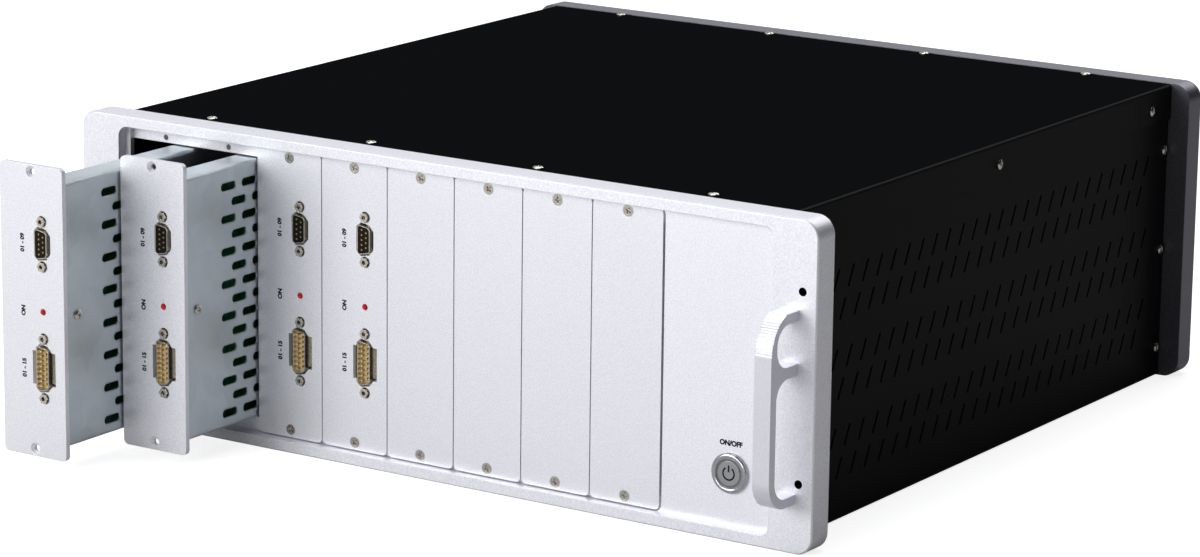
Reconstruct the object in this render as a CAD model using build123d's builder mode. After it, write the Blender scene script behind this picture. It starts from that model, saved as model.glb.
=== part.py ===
from build123d import *
from math import cos, radians, sin, tan
import os

# Rack-mounted potentiostat with eight plug-in slots. Sizes are in millimetres.
# The origin is the centre of the underside, midway between the two panel faces.
# x runs to the right seen from the front, y to the back and z up.

# Overall sizes
rack_width = 482.6
panel_height = 177.0
body_length = 457.0
case_width = 438.5
case_height = 176.6
sheet = 1.2
sheet_bend = 2.0
nest_gap = 0.1

# Front panel
front_thick = 16.0
panel_corner = 10.0
panel_chamfer = 0.8
lip_depth = 11.0
lip_wall = 8.0
pocket_width = 430.0
pocket_height = 163.8
pocket_depth = 6.0
pocket_corner = 6.0
ear_hole_spacing = 465.1
ear_hole_rise = 101.6
ear_hole_radius = 2.25

# Slots and their plates
slot_count = 8
slot_pitch = 44.35
bay_inset = 3.6
bay_margin = 1.1
bay_corner = 4.0
bay_ledge = 7.7
plate_thick = 3.0
plate_gap = 0.6
plate_corner = 3.0
plate_screw_spacing = 154.1

# Screws: clearance hole, tapped hole, shank and heads
clear_radius = 1.7
tapped_radius = 1.55
shank_radius = 1.5
head_radius = 2.8
head_height = 1.9
sink_radius = 3.25
sunk_head_radius = 3.0
sunk_head_depth = 0.2
screw_inset = 5.3

# Plug-in modules: how far each is drawn out, and what its plate carries
module_pull = {1: 112.0, 2: 64.0, 3: 0.0, 4: 0.0}
connector_offset = 7.2
connector_proud = 1.5
nine_way_z = 126.7
lamp_z = 89.1
fifteen_way_z = 57.4
cutout_margin = 1.5
shell_angle = 80.0
shell_width = 8.4
shell_corner = 1.5
shell_wall = 0.45
flange_width = 12.5
flange_thick = 0.8
flange_setback = 1.4
contact_pitch = 2.77
row_spacing = 2.84
nine_way = {"rows": (5, 4), "length": 16.9, "flange": 30.8, "screws": 12.5}
fifteen_way = {"rows": (8, 7), "length": 25.3, "flange": 39.2, "screws": 16.66}
jackscrew_across = 4.8
jackscrew_bore = 1.25
jackscrew_hole = 3.1
lamp_radius = 1.5

# Module shield and circuit board
shield_offset = 21.4
shield_sheet = 1.0
shield_bend = 2.2
shield_flange = 16.0
shield_height = 147.0
shield_length = 300.0
vent_length = 13.0
vent_height = 4.6
vent_column_pitch = 9.15
vent_row_pitch = 18.26
vent_rows = 8
first_vent = 36.5
vent_drop = 1.4
vent_bevel = 1.35
board_offset = 13.5
board_thick = 1.6
board_height = 141.0
standoff_radius = 3.0
standoff_inset = 20.0
plug_left = 4.0
plug_right = 5.0
plug_height = 90.0
plug_depth = 10.0
plug_gap = 0.3
socket_wall = 1.0
socket_overlap = 3.0
backplane_socket = 10.7

# Components of a module's board: distance along it, height up it, length, rise, thickness
board_components = ((60, 20, 30, 30, 3), (60, 80, 20, 20, 3), (130, 15, 30, 30, 7),
                    (130, 60, 20, 60, 7), (200, 30, 40, 25, 4))
capacitor_place = (220, 100)
capacitor_spacing = 18.0
capacitor_radius = 5.0
capacitor_height = 8.0

# Sliding fits
slide_gap = 0.3

# Sides of small bores and shanks, of larger hidden ones, and round is a true circle
small_sides = 8
sink_sides = 12
large_sides = 24
round_sides = 0

# Side vents of the lower case: three pairs of rows of leaning slots
side_vent_columns = 26
side_vent_pitch = 14.8
side_vent_width = 1.8
side_vent_rise = 12.0
side_vent_lean = 25.4
side_vent_first = 44.1
side_vent_rows = 3
side_vent_row_base = 28.9
side_vent_pair_pitch = 43.2
side_vent_pair_step = 16.7

# Handles
handle_x = 225.7
handle_width = 10.0
handle_reach = 26.1
handle_bar = 5.6
handle_top = 129.5
handle_bottom = 27.0
handle_bottom_radius = 16.0
thumb_rest_radius = 21.5
thumb_rest_drop = 20.0
thumb_rest_angle = 68.5
upper_grip = (101.5, 124.1)
lower_grip = (32.0, 95.4)
grip_radius = 10.5
handle_screw_z = (126.8, 98.5, 29.5)
handle_hole_depth = 8.0
handle_screw_reach = 7.0
handle_sink_depth = 3.0
thumb_teeth = 16
tooth_size = 1.5

# Power button
button_x = 188.0
button_z = 35.1
bezel_radius = 11.0
bezel_proud = 2.0
barrel_radius = 9.5
barrel_depth = 30.0
button_radius = 7.0
button_length = 10.0
button_gap = 0.1
button_room = 4.0
groove_radius = 8.0
groove_depth = 1.2
fit_gap = 0.1

# Rear panel and what it carries
rear_width = 462.0
rear_thick = 16.0
rear_wall = 4.0
fan_x = -130.0
fan_size = 80.0
fan_thick = 25.0
fan_bore = 76.0
fan_hole_spacing = 71.5
guard_thick = 1.0
inlet_x = 150.0
inlet_z = 40.0
port_x = 60.0
port_z = 40.0
post_x = 100.0
post_z = 40.0

inlet_width = 27.0
inlet_height = 20.0
inlet_depth = 20.0
inlet_flange = 2.5
inlet_screw_spacing = 40.0
inlet_wall = 1.7
inlet_floor = 3.0
inlet_blades = ((-7, -2), (7, -2), (0, 2))
blade_width = 2.0
blade_height = 4.0
port_width = 12.0
port_height = 11.0
port_length = 16.0
port_proud = 0.5
port_wall = 0.5
port_recess = 9.0
port_tongue = (5.6, 3.2)
post_radius = 3.0
post_nut_radius = 5.5
post_nut_length = 8.0
post_reach = 12.0
inner_nut_radius = 4.5
inner_nut_length = 3.0
hub_radius = 17.0
hub_thick = 3.0
pin_radius = 1.5
pin_gap = 0.05
pin_reach = 14.0
rotor_depth = 20.0
blade_count = 7
blade_tip = 36.5
blade_thick = 1.5
blade_twist = 15.0
guard_mesh = 8.0
guard_wire = 0.8
strut_width = 4.0
rotor_gap = 0.5

# Card guides, backplane and power supply
guide_thick = 2.0
rib_width = 1.2
rib_height = 2.3
rib_setback = 5.0
guide_inset = 3.0
web_inset = 20.0
backplane_thick = 2.0
supply_left = 150.0
supply_width = 60.0
supply_length = 180.0
supply_height = 110.0
supply_depth = 80.0
supply_vents = 10
supply_vent_pitch = 8.0
supply_vent_height = 3.0
supply_vent_margin = 8.0
supply_skin = 2.0

# Small pieces
window_width = 16.0
window_height = 18.8
core_depth = 8.0
contact_radius = 0.55
pin_length = 4.5
pin_floor = 1.8
socket_setback = 0.4
socket_depth = 3.0
core_margin = 2.5
jackscrew_stud = 4.0
lamp_length = 5.0
lamp_rim = 0.4
lamp_rim_thick = 1.0
lead = 0.5
lead_bend = 4.0
lead_pitch = 2.54
bezel_chamfer = 0.8
button_chamfer = 0.4
nut_across = 24.0
nut_thick = 3.0
screw_length = 7.0
flange_screw_length = 5.0
plate_screw_length = 7.0

# What follows from the sizes above
mid_z = panel_height / 2
case_front = front_thick
case_end = body_length - rear_thick
rear_inner = body_length - rear_wall
cover_under = case_height - sheet
tray_half = case_width / 2 - sheet - nest_gap
tray_rim = cover_under - (sheet_bend - sheet) - nest_gap
flange_bottom = case_height - 20.6
lip_half = tray_half - sheet - nest_gap
lip_bottom = sheet + nest_gap
lip_top = cover_under - nest_gap
bay_left = bay_inset - pocket_width / 2
bay_width = slot_count * slot_pitch + 2 * bay_margin
bay_mid = bay_left + bay_width / 2
opening_height = pocket_height - 2 * bay_ledge
plate_face = pocket_depth
plate_back = plate_face + plate_thick
plate_width = slot_pitch - plate_gap
plate_height = pocket_height - 2 * plate_gap
shell_face = plate_face - connector_proud
flange_face = plate_back + flange_setback
core_start = flange_face + flange_thick
shield_end = plate_back + shield_length
plug_end = shield_end + plug_depth
backplane_face = plug_end + plug_gap + backplane_socket
shield_low = mid_z - shield_height / 2
shield_high = mid_z + shield_height / 2
lip_screw_depth = case_front + screw_inset
rear_screw_depth = case_end - screw_inset
side_screw_heights = (138.0, 78.0, 18.0)
flange_screw_z = 164.5
flange_screw_depths = (45.0, 230.0, 415.0)
top_screw_spacing = 110.0


def facing_front(depth):
    """Upright plane this far behind the front face, looking out of the front."""
    return Plane.XZ.offset(body_length / 2 - depth)


def from_front(depth):
    """The y of a depth behind the front face."""
    return depth - body_length / 2


def slot_x(slot):
    """The x of a slot's centre, slot 1 at the left."""
    return bay_left + bay_margin + (slot - 0.5) * slot_pitch


def save(piece, name):
    """Label a finished piece and write it to its own file."""
    piece.part.label = name
    export_step(piece.part, f"parts/{name}.step")


def block(low, high, mode=Mode.ADD):
    """A box between two opposite corners, x from left, y as depth, z up."""
    with BuildSketch(facing_front(low[1])) as end:
        with Locations(((low[0] + high[0]) / 2, (low[2] + high[2]) / 2)):
            Rectangle(high[0] - low[0], high[2] - low[2])
    extrude(end.sketch, amount=low[1] - high[1], mode=mode)


def rod(x, z, radius, start, end, mode=Mode.ADD, sides=small_sides):
    """A bar or bore along y between two depths; small ones have few sides, to stay light.

    A bar's corners and a bore's flats lie on the radius, so a fit keeps its clearance.
    """
    with BuildSketch(facing_front(start)) as section:
        with Locations((x, z)):
            if sides:
                RegularPolygon(radius, sides, major_radius=mode is Mode.ADD)
            else:
                Circle(radius)
    extrude(section.sketch, amount=start - end, mode=mode)


def d_prism(x, z, length, width, corner, start, end, mode=Mode.ADD):
    """An upright D-shaped prism along y, its long side to the left."""
    with BuildSketch(facing_front(start)) as outline:
        with Locations((x, z)):
            Trapezoid(length, width, shell_angle, rotation=-90)
        chamfer(outline.vertices(), corner)
    extrude(outline.sketch, amount=start - end, mode=mode)


def folded_sheet(points, radius, thick, start, end):
    """A sheet folded twice along y; the points run round the outside of its section."""
    with BuildSketch(facing_front(start)) as section:
        with BuildLine():
            outside = FilletPolyline(*points, radius=radius)
            offset(outside, amount=thick, side=Side.LEFT)
        make_face()
    extrude(section.sketch, amount=start - end)


def lip_holes(depth):
    """Tapped holes in a lip for the screws of the cover and of the side walls."""
    with BuildSketch(Plane.XY.offset(lip_top)) as cover_holes:
        with Locations((0, from_front(depth))):
            with GridLocations(top_screw_spacing, 0, 4, 1):
                RegularPolygon(tapped_radius, small_sides, major_radius=False)
    extrude(cover_holes.sketch, amount=-lip_wall, mode=Mode.SUBTRACT)
    with BuildSketch(Plane.YZ) as side_holes:
        with Locations(*[(from_front(depth), height) for height in side_screw_heights]):
            RegularPolygon(tapped_radius, small_sides, major_radius=False)
    extrude(side_holes.sketch, amount=case_width, both=True, mode=Mode.SUBTRACT)


os.makedirs("parts", exist_ok=True)


# Front panel: a thick machined plate with ears, a shallow pocket, a deeper recess
# for the slot plates with an opening through it, and a lip that fits into the case
with BuildPart(facing_front(0)) as front_panel:
    with BuildSketch(facing_front(0)):
        with Locations((0, mid_z)):
            RectangleRounded(rack_width, panel_height, panel_corner)
    extrude(amount=-front_thick)
    chamfer(front_panel.edges().group_by(Axis.Y)[0], panel_chamfer)
    with BuildSketch(facing_front(front_thick)):
        with Locations((0, (lip_bottom + lip_top) / 2)):
            Rectangle(2 * lip_half, lip_top - lip_bottom)
            Rectangle(2 * (lip_half - lip_wall), lip_top - lip_bottom - 2 * lip_wall,
                      mode=Mode.SUBTRACT)
    extrude(amount=-lip_depth)
    with BuildSketch(facing_front(0)):
        with Locations((0, mid_z)):
            RectangleRounded(pocket_width, pocket_height, pocket_corner)
    extrude(amount=-pocket_depth, mode=Mode.SUBTRACT)
    with BuildSketch(facing_front(pocket_depth)):
        with Locations((bay_mid, mid_z)):
            RectangleRounded(bay_width, pocket_height, bay_corner)
    extrude(amount=-plate_thick, mode=Mode.SUBTRACT)
    with BuildSketch(facing_front(plate_back)):
        with Locations((bay_mid, mid_z)):
            Rectangle(bay_width, opening_height)
    extrude(amount=plate_back - front_thick - lip_depth, mode=Mode.SUBTRACT)
    with Locations((0, mid_z)):
        with GridLocations(ear_hole_spacing, ear_hole_rise, 2, 2):
            Hole(ear_hole_radius, depth=front_thick)
    for slot in range(1, slot_count + 1):
        for side in (-1, 1):
            rod(slot_x(slot), mid_z + side * plate_screw_spacing / 2, tapped_radius,
                plate_back, front_thick, Mode.SUBTRACT)
    rod(button_x, button_z, barrel_radius + fit_gap, pocket_depth, front_thick, Mode.SUBTRACT,
        large_sides)
    for side in (-1, 1):
        for height in handle_screw_z:
            rod(side * handle_x, height, clear_radius, 0, front_thick, Mode.SUBTRACT)
            rod(side * handle_x, height, head_radius + fit_gap, front_thick - handle_sink_depth,
                front_thick, Mode.SUBTRACT)
    lip_holes(lip_screw_depth)
save(front_panel, "front_panel")


# Rear panel: narrower plate, hollowed from inside to a wall, with its own lip
with BuildPart() as rear_panel:
    with BuildSketch(facing_front(case_end)):
        with Locations((0, mid_z)):
            RectangleRounded(rear_width, panel_height, panel_corner)
    extrude(amount=-rear_thick)
    chamfer(rear_panel.edges().group_by(Axis.Y)[-1], panel_chamfer)
    with BuildSketch(facing_front(case_end - lip_depth)):
        with Locations((0, (lip_bottom + lip_top) / 2)):
            Rectangle(2 * lip_half, lip_top - lip_bottom)
    extrude(amount=-lip_depth)
    with BuildSketch(facing_front(case_end - lip_depth)):
        with Locations((0, (lip_bottom + lip_top) / 2)):
            Rectangle(2 * (lip_half - lip_wall), lip_top - lip_bottom - 2 * lip_wall)
    extrude(amount=rear_wall - rear_thick - lip_depth, mode=Mode.SUBTRACT)
    rod(fan_x, mid_z, fan_bore / 2, rear_inner, body_length, Mode.SUBTRACT, large_sides)
    for side_x in (-1, 1):
        for side_z in (-1, 1):
            rod(fan_x + side_x * fan_hole_spacing / 2, mid_z + side_z * fan_hole_spacing / 2,
                tapped_radius, rear_inner, body_length, Mode.SUBTRACT)
    block((inlet_x - inlet_width / 2 - fit_gap, rear_inner, inlet_z - inlet_height / 2 - fit_gap),
          (inlet_x + inlet_width / 2 + fit_gap, body_length, inlet_z + inlet_height / 2 + fit_gap),
          Mode.SUBTRACT)
    for side in (-1, 1):
        rod(inlet_x + side * inlet_screw_spacing / 2, inlet_z, tapped_radius, rear_inner,
            body_length, Mode.SUBTRACT)
    block((port_x - port_width / 2 - fit_gap, rear_inner, port_z - port_height / 2 - fit_gap),
          (port_x + port_width / 2 + fit_gap, body_length, port_z + port_height / 2 + fit_gap),
          Mode.SUBTRACT)
    rod(post_x, post_z, post_radius + fit_gap, rear_inner, body_length, Mode.SUBTRACT)
    lip_holes(rear_screw_depth)
save(rear_panel, "rear_panel")


# Top cover: folded black steel with a short flange down each side
with BuildPart() as top_cover:
    folded_sheet([(case_width / 2, flange_bottom), (case_width / 2, case_height),
                  (-case_width / 2, case_height), (-case_width / 2, flange_bottom)],
                 sheet_bend, sheet, case_front, case_end)
    with BuildSketch(Plane.XY.offset(case_height)):
        for depth in (lip_screw_depth, rear_screw_depth):
            with Locations((0, from_front(depth))):
                with GridLocations(top_screw_spacing, 0, 4, 1):
                    RegularPolygon(clear_radius, small_sides, major_radius=False)
    extrude(amount=-sheet, mode=Mode.SUBTRACT)
    with BuildSketch(Plane.YZ):
        with Locations(*[(from_front(depth), flange_screw_z) for depth in flange_screw_depths]):
            RegularPolygon(clear_radius, small_sides, major_radius=False)
    extrude(amount=case_width, both=True, mode=Mode.SUBTRACT)
save(top_cover, "top_cover")


# Lower case: folded tray with both side walls, and pairs of rows of leaning vents
with BuildPart() as lower_case:
    folded_sheet([(-tray_half, tray_rim), (-tray_half, 0), (tray_half, 0), (tray_half, tray_rim)],
                 sheet_bend, sheet, case_front, case_end)
    slot_length = (side_vent_rise - side_vent_width * sin(radians(side_vent_lean))) \
        / cos(radians(side_vent_lean))
    with BuildSketch(Plane.YZ):
        for pair in range(side_vent_rows):
            for step in (0, 1):
                row_z = side_vent_row_base + pair * side_vent_pair_pitch \
                    + step * side_vent_pair_step
                row_y = from_front(side_vent_first) + (side_vent_columns - 1) * side_vent_pitch / 2 \
                    - (1 - step) * side_vent_pair_step * tan(radians(side_vent_lean))
                with Locations((row_y, row_z)):
                    with GridLocations(side_vent_pitch, 0, side_vent_columns, 1):
                        Rectangle(side_vent_width, slot_length, rotation=-side_vent_lean)
        with Locations(*[(from_front(depth), height) for height in side_screw_heights
                         for depth in (lip_screw_depth, rear_screw_depth)]):
            RegularPolygon(clear_radius, small_sides, major_radius=False)
        with Locations(*[(from_front(depth), flange_screw_z) for depth in flange_screw_depths]):
            RegularPolygon(tapped_radius, small_sides, major_radius=False)
    extrude(amount=case_width, both=True, mode=Mode.SUBTRACT)
save(lower_case, "lower_case")


# Pull handles: flat bars with three feet, screwed on from behind, and a toothed thumb rest
for side, name in ((-1, "handle_left"), (1, "handle_right")):
    with BuildPart() as handle:
        with BuildSketch(Plane.YZ.offset(side * handle_x)) as profile:
            with BuildLine():
                rest = CenterArc((from_front(thumb_rest_radius - handle_reach),
                                  handle_top - thumb_rest_drop), thumb_rest_radius,
                                 180 - thumb_rest_angle, thumb_rest_angle)
                FilletPolyline(rest @ 1, (from_front(-handle_reach), handle_bottom),
                               (from_front(0), handle_bottom), radius=handle_bottom_radius)
                Polyline((from_front(0), handle_bottom), (from_front(0), handle_top), rest @ 0)
            make_face()
            for low, high in (upper_grip, lower_grip):
                with BuildLine():
                    FilletPolyline((from_front(0), high),
                                   (from_front(handle_bar - handle_reach), high),
                                   (from_front(handle_bar - handle_reach), low),
                                   (from_front(0), low), radius=grip_radius)
                    Line((from_front(0), low), (from_front(0), high))
                make_face(mode=Mode.SUBTRACT)
            with Locations(rest.arc_center):
                with PolarLocations(thumb_rest_radius, thumb_teeth, 183 - thumb_rest_angle,
                                    thumb_rest_angle):
                    RegularPolygon(tooth_size / 2, 4, mode=Mode.SUBTRACT)
        extrude(amount=handle_width / 2, both=True)
        for height in handle_screw_z:
            rod(side * handle_x, height, tapped_radius, -handle_hole_depth, 0, Mode.SUBTRACT)
    save(handle, name)


def plate_body(slot, face):
    """Flat plate of one slot with rounded corners and two countersunk screw holes."""
    with BuildSketch(facing_front(face)) as outline:
        with Locations((slot_x(slot), mid_z)):
            RectangleRounded(plate_width, plate_height, plate_corner)
    extrude(outline.sketch, amount=-plate_thick)
    with BuildSketch(facing_front(face)) as sinks:
        with Locations((slot_x(slot), mid_z)):
            with GridLocations(0, plate_screw_spacing, 1, 2):
                RegularPolygon(sink_radius, sink_sides, major_radius=False)
    extrude(sinks.sketch, amount=clear_radius - sink_radius, taper=45, mode=Mode.SUBTRACT)
    for side in (-1, 1):
        rod(slot_x(slot), mid_z + side * plate_screw_spacing / 2, clear_radius, face,
            face + plate_thick, Mode.SUBTRACT)


# Blank plates that close the empty slots
for slot in range(len(module_pull) + 1, slot_count + 1):
    with BuildPart(facing_front(plate_face)) as blank_plate:
        plate_body(slot, plate_face)
    save(blank_plate, f"blank_plate_{slot}")


def module_plate(slot, pull):
    """Front plate of a module: two D-shaped cut-outs, jackscrew holes and a lamp hole."""
    face = plate_face - pull
    x = slot_x(slot) + connector_offset
    with BuildPart(facing_front(face)) as plate:
        plate_body(slot, face)
        for kind, z in ((nine_way, nine_way_z), (fifteen_way, fifteen_way_z)):
            d_prism(x, z, kind["length"] + 2 * cutout_margin, shell_width + 2 * cutout_margin,
                    shell_corner + cutout_margin, face, face + plate_thick, Mode.SUBTRACT)
            for end in (-1, 1):
                rod(x, z + end * kind["screws"], jackscrew_hole, face, face + plate_thick,
                    Mode.SUBTRACT, sink_sides)
        block((x - window_width / 2, face, fifteen_way_z - window_height / 2),
              (x + window_width / 2, face + plate_thick, fifteen_way_z + window_height / 2),
              Mode.SUBTRACT)
        rod(x, lamp_z, lamp_radius + 2 * fit_gap, face, face + plate_thick, Mode.SUBTRACT)
    save(plate, f"module_{slot}_plate")


def vent_corners():
    """Corners of an oblong vent, each end drawn as half an octagon."""
    half, run, cut = vent_height / 2, vent_length / 2, vent_bevel
    quarter = [(run, half - cut), (run - cut, half)]
    left = [(-x, z) for x, z in reversed(quarter)]
    return quarter + left + [(x, -z) for x, z in reversed(quarter + left)]


def module_shield(slot, pull):
    """Folded steel channel behind the plate, open to the left, with staggered vents."""
    x = slot_x(slot)
    start = plate_back - pull
    with BuildPart() as shield:
        folded_sheet([(x + shield_offset - shield_flange, shield_low),
                      (x + shield_offset, shield_low), (x + shield_offset, shield_high),
                      (x + shield_offset - shield_flange, shield_high)],
                     shield_bend, shield_sheet, start, start + shield_length)
        with BuildSketch(Plane.YZ.offset(x + shield_offset)) as vents:
            for column in range(4):
                rows = vent_rows - column % 2
                with Locations((from_front(start + first_vent + column * vent_column_pitch),
                                mid_z - vent_drop)):
                    with GridLocations(0, vent_row_pitch, 1, rows):
                        Polygon(*vent_corners(), align=None)
        extrude(vents.sketch, amount=-shield_sheet, mode=Mode.SUBTRACT)
        with BuildSketch(Plane.YZ.offset(x + board_offset + board_thick)) as standoffs:
            with Locations((from_front(start + shield_length / 2), mid_z)):
                with GridLocations(shield_length - 2 * standoff_inset,
                                   board_height - standoff_inset, 2, 2):
                    RegularPolygon(standoff_radius, 6)
        extrude(standoffs.sketch, amount=shield_offset - shield_sheet - board_offset - board_thick)
    save(shield, f"module_{slot}_shield")


def module_board(slot, pull):
    """Circuit board with its main components and the plug at its rear end."""
    x = slot_x(slot) + board_offset
    start = plate_back - pull + flange_setback + flange_thick
    end = shield_end - pull
    low = mid_z - board_height / 2
    with BuildPart() as board:
        block((x, start, low), (x + board_thick, end + plug_depth / 2, low + board_height))
        block((x - plug_left, end, mid_z - plug_height / 2),
              (x + plug_right, end + plug_depth, mid_z + plug_height / 2))
        for along, up, length, rise, thick in board_components:
            block((x - thick, start + along, low + up), (x, start + along + length, low + up + rise))
        with BuildSketch(Plane.YZ.offset(x)) as capacitors:
            with Locations((from_front(start + capacitor_place[0]), low + capacitor_place[1])):
                with GridLocations(capacitor_spacing, capacitor_spacing, 2, 2):
                    RegularPolygon(capacitor_radius, small_sides)
        extrude(capacitors.sketch, amount=-capacitor_height)
    save(board, f"module_{slot}_board")


def connector_shell(slot, pull, kind, z, name):
    """Plated steel shell of a connector: a D-shaped rim standing on a flat flange."""
    x = slot_x(slot) + connector_offset
    face = shell_face - pull
    flange = flange_face - pull
    back = core_start - pull
    with BuildPart() as shell:
        block((x - flange_width / 2, flange, z - kind["flange"] / 2),
              (x + flange_width / 2, back, z + kind["flange"] / 2))
        d_prism(x, z, kind["length"], shell_width, shell_corner, face, flange)
        d_prism(x, z, kind["length"] - 2 * shell_wall, shell_width - 2 * shell_wall,
                shell_corner - shell_wall, face, back, Mode.SUBTRACT)
        for end in (-1, 1):
            rod(x, z + end * kind["screws"], tapped_radius, flange, back, Mode.SUBTRACT)
    save(shell, f"module_{slot}_{name}")


def contact_spots(kind, x, z):
    """Places of the contacts of a connector, the longer row to the left."""
    spots = []
    for side, count in zip((-1, 1), kind["rows"]):
        for place in range(count):
            spots.append((x + side * row_spacing / 2,
                          z + (place - (count - 1) / 2) * contact_pitch))
    return spots


def connector_core(slot, pull, kind, z, name):
    """Insulator of a connector with its contacts, reaching back to the circuit board."""
    x = slot_x(slot) + connector_offset
    back = core_start - pull
    inset = shell_wall + fit_gap / 2
    pins = kind is fifteen_way
    front = back - pin_floor if pins else shell_face - pull + socket_setback
    side = slot_x(slot) + board_offset
    with BuildPart() as core:
        d_prism(x, z, kind["length"] - 2 * inset, shell_width - 2 * inset, shell_corner - inset,
                front, back)
        block((x - shell_width / 2, back, z - kind["screws"] + core_margin),
              (side, back + core_depth, z + kind["screws"] - core_margin))
        with BuildSketch(facing_front(front)) as contacts:
            with Locations(*contact_spots(kind, x, z)):
                RegularPolygon(contact_radius, 4)
        if pins:
            extrude(contacts.sketch, amount=pin_length)
        else:
            extrude(contacts.sketch, amount=-socket_depth, mode=Mode.SUBTRACT)
    save(core, f"module_{slot}_{name}")


def module_jackscrews(slot, pull):
    """Four hexagonal jackscrews, each with a tapped bore, standing on the flanges."""
    x = slot_x(slot) + connector_offset
    face = shell_face - pull
    flange = flange_face - pull
    spots = [(x, z + end * kind["screws"]) for end in (-1, 1)
             for kind, z in ((nine_way, nine_way_z), (fifteen_way, fifteen_way_z))]
    with BuildPart() as jackscrews:
        with BuildSketch(facing_front(face)) as hexagons:
            with Locations(*spots):
                RegularPolygon(jackscrew_across / 2, 6, major_radius=False)
        extrude(hexagons.sketch, amount=face - flange)
        with BuildSketch(facing_front(flange)) as studs:
            with Locations(*spots):
                RegularPolygon(shank_radius, 6)
        extrude(studs.sketch, amount=-jackscrew_stud)
        with BuildSketch(facing_front(face)) as bores:
            with Locations(*spots):
                RegularPolygon(jackscrew_bore, small_sides)
        extrude(bores.sketch, amount=face - flange + 1, mode=Mode.SUBTRACT)
    save(jackscrews, f"module_{slot}_jackscrews")


def module_lamp(slot, pull):
    """Red status lamp with a domed lens and two leads bent over to the board."""
    x = slot_x(slot) + connector_offset
    face = shell_face - pull
    back = face + lamp_length
    with BuildPart() as lamp:
        rod(x, lamp_z, lamp_radius, face, back)
        chamfer(lamp.edges().group_by(Axis.Y)[0], lamp_radius / 2)
        rod(x, lamp_z, lamp_radius + lamp_rim, back, back + lamp_rim_thick)
        for side in (-1, 1):
            z = lamp_z + side * lead_pitch / 2
            block((x - lead / 2, back + lamp_rim_thick, z - lead / 2),
                  (x + lead / 2, back + lead_bend, z + lead / 2))
            block((x - lead / 2, back + lead_bend - lead, z - lead / 2),
                  (slot_x(slot) + board_offset, back + lead_bend, z + lead / 2))
    save(lamp, f"module_{slot}_led")


for slot, pull in module_pull.items():
    module_plate(slot, pull)
    module_shield(slot, pull)
    module_board(slot, pull)
    connector_shell(slot, pull, nine_way, nine_way_z, "shell_9")
    connector_core(slot, pull, nine_way, nine_way_z, "core_9")
    connector_shell(slot, pull, fifteen_way, fifteen_way_z, "shell_15")
    connector_core(slot, pull, fifteen_way, fifteen_way_z, "core_15")
    module_jackscrews(slot, pull)
    module_lamp(slot, pull)


# Card guides: trays with a pair of ribs for every slot, on long webs, between the
# front panel and the backplane
guide_left = bay_left + guide_inset
guide_right = bay_left + bay_width
for name, face, toward, outer in (
        ("lower_guides", shield_low - slide_gap, -1, sheet),
        ("upper_guides", shield_high + slide_gap, 1, cover_under)):
    with BuildPart() as guides:
        far = face + toward * guide_thick
        block((guide_left, front_thick, min(face, far)),
              (guide_right, backplane_face, max(face, far)))
        for x in (guide_left + web_inset, bay_mid, guide_right - web_inset):
            block((x, front_thick + lip_depth + fit_gap, min(far, outer)),
                  (x + guide_thick, backplane_face, max(far, outer)))
        for slot in range(1, slot_count + 1):
            left = slot_x(slot) + shield_offset - shield_flange - slide_gap - rib_width
            right = slot_x(slot) + shield_offset + slide_gap
            for x in (left, right):
                block((x, front_thick, min(face, face - toward * rib_height)),
                      (x + rib_width, shield_end - rib_setback, max(face, face - toward * rib_height)))
    save(guides, name)


# Backplane: board across all slots with a socket for every module plug
with BuildPart() as backplane:
    block((guide_left, backplane_face, shield_low - slide_gap - guide_thick),
          (guide_right, backplane_face + backplane_thick, shield_high + slide_gap + guide_thick))
    for slot in range(1, slot_count + 1):
        x = slot_x(slot) + board_offset
        block((x - plug_left - socket_wall, plug_end + plug_gap,
               mid_z - plug_height / 2 - socket_overlap),
              (x + plug_right + socket_wall, backplane_face,
               mid_z + plug_height / 2 + socket_overlap))
save(backplane, "backplane")


# Power supply: closed box standing on the tray floor beside the slots
with BuildPart() as power_supply:
    block((supply_left, supply_depth, sheet),
          (supply_left + supply_width, supply_depth + supply_length, sheet + supply_height))
    with BuildSketch(facing_front(supply_depth)):
        with Locations((supply_left + supply_width / 2, sheet + supply_height / 2)):
            with GridLocations(0, supply_vent_pitch, 1, supply_vents):
                Rectangle(supply_width - 2 * supply_vent_margin, supply_vent_height)
    extrude(amount=-supply_skin, mode=Mode.SUBTRACT)
save(power_supply, "power_supply")


# Fan: square frame with four struts and a hub, a rotor on its pin, and a guard outside
fan_front = rear_inner - fan_thick
with BuildPart() as fan_frame:
    with BuildSketch(facing_front(fan_front)):
        with Locations((fan_x, mid_z)):
            Rectangle(fan_size, fan_size)
            RegularPolygon(fan_bore / 2, large_sides, major_radius=False, mode=Mode.SUBTRACT)
            with GridLocations(fan_hole_spacing, fan_hole_spacing, 2, 2):
                RegularPolygon(tapped_radius, small_sides, major_radius=False, mode=Mode.SUBTRACT)
    extrude(amount=-fan_thick)
    with BuildSketch(facing_front(fan_front)):
        with Locations((fan_x, mid_z)):
            RegularPolygon(hub_radius, large_sides)
            with PolarLocations(0, 4, 45):
                with Locations((fan_size / 4 + hub_radius / 4, 0)):
                    Rectangle(fan_size / 2 - hub_radius / 2, strut_width)
    extrude(amount=-hub_thick)
    rod(fan_x, mid_z, pin_radius, fan_front + hub_thick, fan_front + hub_thick + pin_reach)
save(fan_frame, "fan_frame")

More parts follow.
